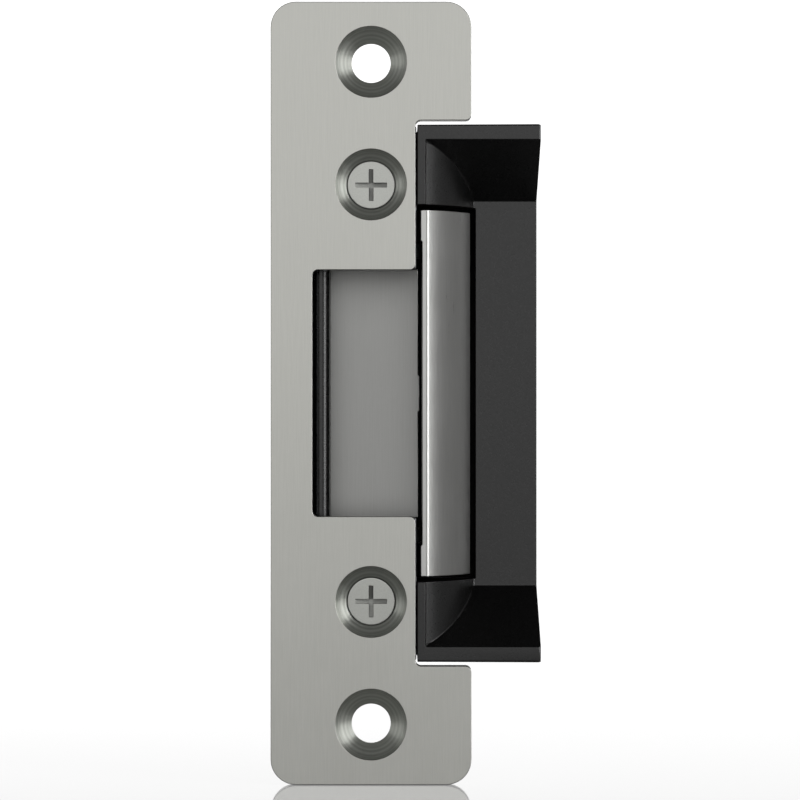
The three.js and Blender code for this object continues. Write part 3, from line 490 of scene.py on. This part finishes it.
def sink_hole(shape, z, bore):
    """Turns a straight hole in the plate into a countersunk one and welds the cone in."""
    front, back = plate_low.y, plate_high.y
    wall = [f for f in shape.faces if all(math.hypot(v.co.x, v.co.z - z) < SINK + PLATE_RIM * 1.05
                                          and v.co.y > front + PLATE_RIM * 0.95 for v in f.verts)]
    bmesh.ops.delete(shape, geom=wall, context="FACES")
    rows = [loop_round(shape, z, SINK, front + PLATE_RIM)]
    steps = [(SINK + (bore - SINK) * t, front + PLATE_RIM + (SINK - bore) * t)
             for t in (0.25, 0.5, 0.75, 1.0)]
    turn = shape.verts.layers.float["turn_radius"]
    outward = shape.verts.layers.float_vector["turn_outward"]
    for radius, y in (*steps, (bore, back)):
        row = []
        for mate in rows[0]:
            angle = math.atan2(mate.co.z - z, mate.co.x)
            row.append(shape.verts.new((radius * math.cos(angle), y, z + radius * math.sin(angle))))
        rows.append(row)
    rows.append(loop_round(shape, z, SINK + PLATE_RIM, back))
    for k, (outer, inner) in enumerate(zip(rows, rows[1:])):
        for i in range(len(outer)):
            j = (i + 1) % len(outer)
            face = shape.faces.new((outer[i], inner[i], inner[j], outer[j]))
            face.material_index = 1 if k < len(steps) else 0
    for row in rows:
        for v in row:
            v[turn] = math.hypot(v.co.x, v.co.z - z)
            v[outward] = Vector((v.co.x, 0, v.co.z - z)).normalized()


loops = [plate_loop] + [circle_loop(0, z, SINK) for z, bore in holes]
shape = plate_shape(loops, plate_low.y, plate_high.y, PLATE_RIM)
shape.verts.layers.float.new("turn_radius")
shape.verts.layers.float_vector.new("turn_outward")
for z, bore in holes:
    sink_hole(shape, z, bore)
bmesh.ops.recalc_face_normals(shape, faces=shape.faces)
finished("faceplate_brushed", shape, ["faceplate"], extra=(turned_steel,))

# %% [markdown]
# ## Screws
# A screw head is turned, then its cross recess is punched. So it is made here in the same order: a profile
# is spun round an axis, and a tapered cross is cut from it.


# %% Turned shapes and cross recesses
def spun(profile, sides=64):
    """A profile of (radius, height) pairs spun round Z, closed at both ends, as a bmesh."""
    shape = bmesh.new()
    rows = []
    for radius, height in profile:
        if radius == 0:
            rows.append([shape.verts.new((0, 0, height))])
            continue
        angles = [2 * math.pi * i / sides for i in range(sides)]
        rows.append([shape.verts.new((radius * math.cos(a), radius * math.sin(a), height)) for a in angles])
    for low, high in zip(rows, rows[1:]):
        for i in range(sides):
            j = (i + 1) % sides
            ring = [low[i % len(low)], low[j % len(low)], high[j % len(high)], high[i % len(high)]]
            shape.faces.new(list(dict.fromkeys(ring)))
    bmesh.ops.recalc_face_normals(shape, faces=shape.faces)
    return shape


def cross_shape(reach, width, depth, top):
    """The punch for a cross recess: its arms slope down to a small flat in the middle."""
    shape = bmesh.new()
    heel = 0.4 * depth
    flat = width / 2
    above = 0.3 * MM
    profile = [(-reach, above), (-reach, -heel), (-flat, -depth), (flat, -depth), (reach, -heel),
               (reach, above)]
    for turn in (0, 90):
        sides = []
        for side in (-1, 1):
            row = [shape.verts.new((along, side * width / 2, top + height)) for along, height in profile]
            shape.faces.new(row)
            sides.append(row)
        for i in range(len(profile)):
            j = (i + 1) % len(profile)
            shape.faces.new((sides[0][i], sides[0][j], sides[1][j], sides[1][i]))
        if not turn:
            bmesh.ops.rotate(shape, verts=shape.verts, matrix=Matrix.Rotation(math.radians(90), 3, "Z"))
    bmesh.ops.recalc_face_normals(shape, faces=shape.faces)
    return shape


def with_cut(body, cutter):
    """body less cutter, both as bmeshes."""
    parts = []
    for shape in (body, cutter):
        mesh = bpy.data.meshes.new("cut")
        shape.to_mesh(mesh)
        shape.free()
        parts.append(bpy.data.objects.new("cut", mesh))
        scene.collection.objects.link(parts[-1])
    cut = parts[0].modifiers.new("cut", "BOOLEAN")
    cut.object = parts[1]
    cut.operation = "DIFFERENCE"
    cut.solver = "EXACT"
    cut.use_self = True
    graph = bpy.context.evaluated_depsgraph_get()
    result = bmesh.new()
    result.from_mesh(bpy.data.meshes.new_from_object(parts[0].evaluated_get(graph), depsgraph=graph))
    for part in parts:
        bpy.data.objects.remove(part)
    bmesh.ops.remove_doubles(result, verts=result.verts, dist=0.001 * MM)
    bmesh.ops.dissolve_limit(result, angle_limit=math.radians(0.6), verts=result.verts, edges=result.edges)
    return result


def turned_to(shape, place, facing):
    """Turns a shape that was made along Z to face a direction, and moves it to its place."""
    turn = Vector(facing).to_track_quat("Z", "Y").to_matrix().to_4x4()
    bmesh.ops.transform(shape, matrix=Matrix.Translation(place) @ turn, verts=shape.verts)
    return shape


# %% Faceplate screws
SHANK = 2 * MM
POINT = 0.5 * MM
HEAD_EDGE = 0.1 * MM
RECESS_REACH = 2.5 * MM
RECESS_DEPTH = 1.05 * MM
# The punched cross is duller than the turned head, and its darker colour is painted shade in the recess.
recess_shade_steel = metal("forged_recess_steel", "949591", "A0A19D", 0.5, 0.3 * MM, (1, 1, 1), 0.002 * MM)
for name, (low, high) in zip(("faceplate_screw_top", "faceplate_screw_bottom"), screw_boxes):
    head = (high.x - low.x) / 2
    length = high.y - low.y
    cone = head - SHANK
    body = spun([(0, -length), (SHANK - POINT, -length), (SHANK, -length + POINT), (SHANK, -cone),
                 (head - HEAD_EDGE, -HEAD_EDGE), (head - 0.4 * HEAD_EDGE, -0.1 * HEAD_EDGE),
                 (head - 2 * HEAD_EDGE, 0), (0, 0)], 96)
    shape = with_cut(body, cross_shape(RECESS_REACH, 0.72 * MM, RECESS_DEPTH, 0))
    # Faces down inside the cross take the darker metal: painted shade in the recess.
    for face in shape.faces:
        middle = face.calc_center_median()
        inside = (-RECESS_DEPTH - 0.05 * MM < middle.z < -0.005 * MM
                  and math.hypot(middle.x, middle.y) < RECESS_REACH)
        face.material_index = 1 if inside and face.normal.z > -0.05 else 0
    turned_to(shape, (0, low.y, (low.z + high.z) / 2), (0, -1, 0))
    finished(name + "_turned", shape, [name], 0.05 * MM, 2, 30, (recess_shade_steel,))

# %% [markdown]
# ## Keeper
# The keeper is a solid steel casting that turns on two pins. Its nose stands in the notch, and a tight
# radius, rolled over by polishing, leads into the long curve that the latch bolt rides up. That radius
# holds the brightest line on the whole strike, so it gets its own bevel before the general one.

# %% Keeper
pin_low, pin_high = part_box("keeper_pin_top")
pin_x, pin_y = (pin_low.x + pin_high.x) / 2, (pin_low.y + pin_high.y) / 2
keeper_low, keeper_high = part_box("keeper")
KEEPER_RADIUS = 18.55 * MM
NOSE_X = (8.5 * MM, 9.3 * MM)
NOSE_RADIUS = 0.28 * MM
CORNER_RADIUS = 0.65 * MM
NEAR = 0.02 * MM


def angle_at_pin(v):
    """A vertex's angle round the keeper's pin, in degrees."""
    return math.degrees(math.atan2(v.co.y - pin_y, v.co.x - pin_x))


def reach_from_pin(v):
    """A vertex's distance from the pin's axis."""
    return math.hypot(v.co.x - pin_x, v.co.y - pin_y)


def rounded(shape, edges, radius, segments):
    """Rounds some edges of a bmesh and says how many there were."""
    bmesh.ops.bevel(shape, geom=edges, offset=radius, segments=segments, profile=0.5, affect="EDGES")
    print("rounded", len(edges), "edges by", round(radius / MM, 2), "mm")


shape = cad_copy("keeper")
nose = [e for e in shape.edges if abs(e.verts[0].co.z - e.verts[1].co.z) > 1 * MM and all(
    abs(v.co.y - keeper_low.y) < NEAR and NOSE_X[0] < v.co.x < NOSE_X[1] for v in e.verts)]
rounded(shape, nose, NOSE_RADIUS, 6)
face_end = max(angle_at_pin(v) for v in shape.verts if reach_from_pin(v) > KEEPER_RADIUS - 0.15 * MM)
ends = [e for e in shape.edges if all(abs(abs(v.co.z) - keeper_high.z) < NEAR
                                      and abs(angle_at_pin(v) - face_end) < 0.5 for v in e.verts)]
rounded(shape, ends, CORNER_RADIUS, 5)
finished("keeper_polished", shape, ["keeper"], 0.14 * MM, 3, 25)

# %% [markdown]
# ## Lip housing and the latch pocket
# The lip housing guides the latch bolt down its slope. It is die-cast, so each edge has a cast radius, and
# its black coat rounds them further. The liner, the bumpers and the stop plate sit in the pocket behind.

# %% Lip housing, liner, stop plate and bumpers
# The housing's two ears are curved about the keeper's pin, with the keeper's radius.
EAR_RIM = 0.2 * MM
OUTER_RIM = 0.35 * MM
shape = cad_copy("lip_housing")
on_ear = [f for f in shape.faces if all(abs(reach_from_pin(v) - KEEPER_RADIUS) < NEAR for v in f.verts)]
ear_rims = [e for e in shape.edges if len(e.link_faces) == 2 and any(f in on_ear for f in e.link_faces)
            and math.radians(22) < e.calc_face_angle() < math.radians(80)]
rounded(shape, ear_rims, EAR_RIM, 3)
outer_rims = [e for e in shape.edges if all(abs(abs(v.co.z) - housing_high.z) < NEAR
                                            and abs(v.co.y - housing_low.y) < NEAR for v in e.verts)]
rounded(shape, outer_rims, OUTER_RIM, 3)
finished("lip_housing_coated", shape, ["lip_housing"], 0.11 * MM, 2, 22)
finished("latch_liner_moulded", cad_copy("latch_liner"), ["latch_liner"], 0.15 * MM, 2, 30)
finished("stop_plate_satin", cad_copy("latch_stop_plate"), ["latch_stop_plate"], 0.12 * MM, 2, 30)
for end in ("top", "bottom"):
    node = f"keeper_bumper_{end}"
    finished(f"bumper_{end}_rubber", cad_copy(node), [node], 0.2 * MM, 3, 40)

# %% [markdown]
# ## Case and cover
# The case is a zinc die casting with the solenoid inside. A brushed steel cover closes it from behind, with
# a window for the wire terminals.

# %% Case body and back cover
finished("case_body_cast", cad_copy("case_body"), ["case_body"], 0.2 * MM, 2, 40)
cover_low, cover_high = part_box("back_cover")
terminal_low, terminal_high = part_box("terminal_block")
WINDOW_GAP = 0.3 * MM
COVER_CORNER = 1.5 * MM
cover_screws = [f"cover_screw_{i}" for i in (1, 2, 3, 4)]
screw_places = [sum(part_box(name), Vector()) / 2 for name in cover_screws]
left, right = terminal_low.x - WINDOW_GAP, terminal_high.x + WINDOW_GAP
foot, top = terminal_low.z - WINDOW_GAP, terminal_high.z + WINDOW_GAP
window = [(left, foot), (right, foot), (right, top), (left, top)]
cover_loops = [
    rounded_loop([(cover_low.x, cover_low.z, COVER_CORNER), (cover_high.x, cover_low.z, COVER_CORNER),
                  (cover_high.x, cover_high.z, COVER_CORNER), (cover_low.x, cover_high.z, COVER_CORNER)]),
    rounded_loop([(x, z, 0.4 * MM) for x, z in window], 4),
    *[circle_loop(p.x, p.z, 1.6 * MM, 32) for p in screw_places],
]
shape = plate_shape(cover_loops, cover_low.y, cover_high.y, 0.12 * MM)
# Faces looking forward, the cover's inner face, take the painted shade.
for face in shape.faces:
    face.material_index = 1 if face.normal.y < -0.9 else 0
finished("back_cover_brushed", shape, ["back_cover"], extra=(cover_inner_shade,))
finished("terminal_block_moulded", cad_copy("terminal_block"), ["terminal_block"], 0.12 * MM, 2, 30)

# %% [markdown]
# ## Repeated pieces with Geometry Nodes
# The four cover screws and the turns of the coil are each one shape repeated, and the plunger's spring is
# one section that follows a path. A Geometry Nodes tree makes each from named inputs. It ends in Realize
# Instances and Set Material, so that what comes out is a plain mesh.


# %% Trees and what grows from them
def new_tree(name, inputs):
    """A Geometry Nodes tree with named inputs, and its input and output nodes."""
    tree = bpy.data.node_groups.new(name, "GeometryNodeTree")
    tree.interface.new_socket("Geometry", in_out="INPUT", socket_type="NodeSocketGeometry")
    for label, kind in inputs.items():
        tree.interface.new_socket(label, in_out="INPUT", socket_type="NodeSocket" + kind)
    tree.interface.new_socket("Geometry", in_out="OUTPUT", socket_type="NodeSocketGeometry")
    return tree, add_node(tree, "NodeGroupInput").outputs


def close_tree(tree, geometry, finish):
    """Ends a tree: real copies, their finish, and the way out."""
    real = add_node(tree, "GeometryNodeRealizeInstances", {0: geometry})
    coated = add_node(tree, "GeometryNodeSetMaterial", {"Geometry": real.outputs[0], "Material": finish})
    add_node(tree, "NodeGroupOutput", {0: coated.outputs[0]})


def grown(name, tree, values, standing_for, points=((0, 0, 0),), sharp=32):
    """Runs a tree on some points and makes the result a piece."""
    mesh = bpy.data.meshes.new(name)
    mesh.from_pydata([tuple(p) for p in points], [], [])
    piece = bpy.data.objects.new(name, mesh)
    scene.collection.objects.link(piece)
    modifier = piece.modifiers.new(name, "NODES")
    modifier.node_group = tree
    for socket in tree.interface.items_tree:
        if socket.in_out == "INPUT" and socket.name in values:
            modifier[socket.identifier] = values[socket.name]
    return settled(piece, standing_for, sharp)


# %% Cover screws
screw_low, screw_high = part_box("cover_screw_1")
head = (screw_high.x - screw_low.x) / 2
head_high = screw_high.y - cover_high.y
under = cover_high.y - screw_low.y
thread = 1.4 * MM
crown = [(head * math.cos(a), head_high * (0.45 + 0.55 * math.sin(a))) for a in np.linspace(0, 1.2, 7)]
body = spun([(0, -under), (thread - 0.3 * MM, -under), (thread, -under + 0.3 * MM), (thread, 0), (head, 0),
             *crown, (0, head_high)], 48)
pan_screw = with_cut(body, cross_shape(1.6 * MM, 0.6 * MM, 0.9 * MM, head_high))
turned_to(pan_screw, (0, 0, 0), (0, 1, 0))
pan_mesh = bpy.data.meshes.new("pan_screw")
pan_screw.to_mesh(pan_mesh)
pan_screw.free()
pan_holder = bpy.data.objects.new("pan_screw", pan_mesh)

tree, given = new_tree("screws_on_points", {"Screw": "Object", "Finish": "Material"})
screw = add_node(tree, "GeometryNodeObjectInfo", {"Object": given["Screw"]})
copies = add_node(tree, "GeometryNodeInstanceOnPoints",
                  {"Points": given["Geometry"], "Instance": screw.outputs["Geometry"]})
close_tree(tree, copies.outputs[0], given["Finish"])
seats = [(p.x, cover_high.y, p.z) for p in screw_places]
grown("cover_screws", tree, {"Screw": pan_holder, "Finish": finishes["screw_zinc"]}, cover_screws, seats)

# %% Coil winding
coil_low, coil_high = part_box("coil_winding")
coil_x, coil_y = (coil_low.x + coil_high.x) / 2, (coil_low.y + coil_high.y) / 2
WIRE = 0.36 * MM
coil_turns = int((coil_high.z - coil_low.z) / WIRE)
tree, given = new_tree("wound_coil", {"Turns": "Int", "Radius": "Float", "Wire": "Float", "Pitch": "Float",
                                      "Start": "Vector", "Finish": "Material"})
step = add_node(tree, "ShaderNodeCombineXYZ", {"Z": given["Pitch"]})
line = add_node(tree, "GeometryNodeMeshLine",
                {"Count": given["Turns"], "Start Location": given["Start"], "Offset": step.outputs[0]})
turn = add_node(tree, "GeometryNodeCurvePrimitiveCircle", {"Resolution": 48, "Radius": given["Radius"]})
section = add_node(tree, "GeometryNodeCurvePrimitiveCircle", {"Resolution": 8, "Radius": given["Wire"]})
ring = add_node(tree, "GeometryNodeCurveToMesh", {0: turn.outputs[0], 1: section.outputs[0]})
stack = add_node(tree, "GeometryNodeInstanceOnPoints",
                 {"Points": line.outputs[0], "Instance": ring.outputs[0]})
close_tree(tree, stack.outputs[0], given["Finish"])
grown("coil_turns", tree, {
    "Turns": coil_turns, "Radius": (coil_high.x - coil_low.x) / 2 - WIRE / 2, "Wire": WIRE / 2, "Pitch": WIRE,
    "Start": (coil_x, coil_y, coil_low.z + WIRE / 2), "Finish": finishes["copper_wire"],
}, ["coil_winding"], sharp=180)

# %% Plunger spring
spring_low, spring_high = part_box("plunger_spring")
SPRING_WIRE = 0.5 * MM
SPRING_TURNS = 7.0
SPRING_RADIUS = 4 * MM
spring_length = spring_high.z - spring_low.z
tree, given = new_tree("coil_spring", {"Turns": "Float", "Radius": "Float", "Wire": "Float",
                                       "Height": "Float", "Foot": "Vector", "Finish": "Material"})
spiral = add_node(tree, "GeometryNodeCurveSpiral", {
    "Resolution": 32, "Rotations": given["Turns"], "Start Radius": given["Radius"],
    "End Radius": given["Radius"], "Height": given["Height"]})
section = add_node(tree, "GeometryNodeCurvePrimitiveCircle", {"Resolution": 12, "Radius": given["Wire"]})
wire = add_node(tree, "GeometryNodeCurveToMesh",
                {0: spiral.outputs[0], 1: section.outputs[0], "Fill Caps": True})
placed = add_node(tree, "GeometryNodeTransform", {"Geometry": wire.outputs[0], "Translation": given["Foot"]})
close_tree(tree, placed.outputs[0], given["Finish"])
spring = grown("plunger_spring_wound", tree, {
    "Turns": SPRING_TURNS, "Radius": SPRING_RADIUS, "Wire": SPRING_WIRE / 2,
    "Height": spring_length - SPRING_WIRE, "Foot": (coil_x, coil_y, spring_low.z + SPRING_WIRE / 2),
    "Finish": finishes["spring_steel"],
}, ["plunger_spring"], sharp=60)
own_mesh(spring)
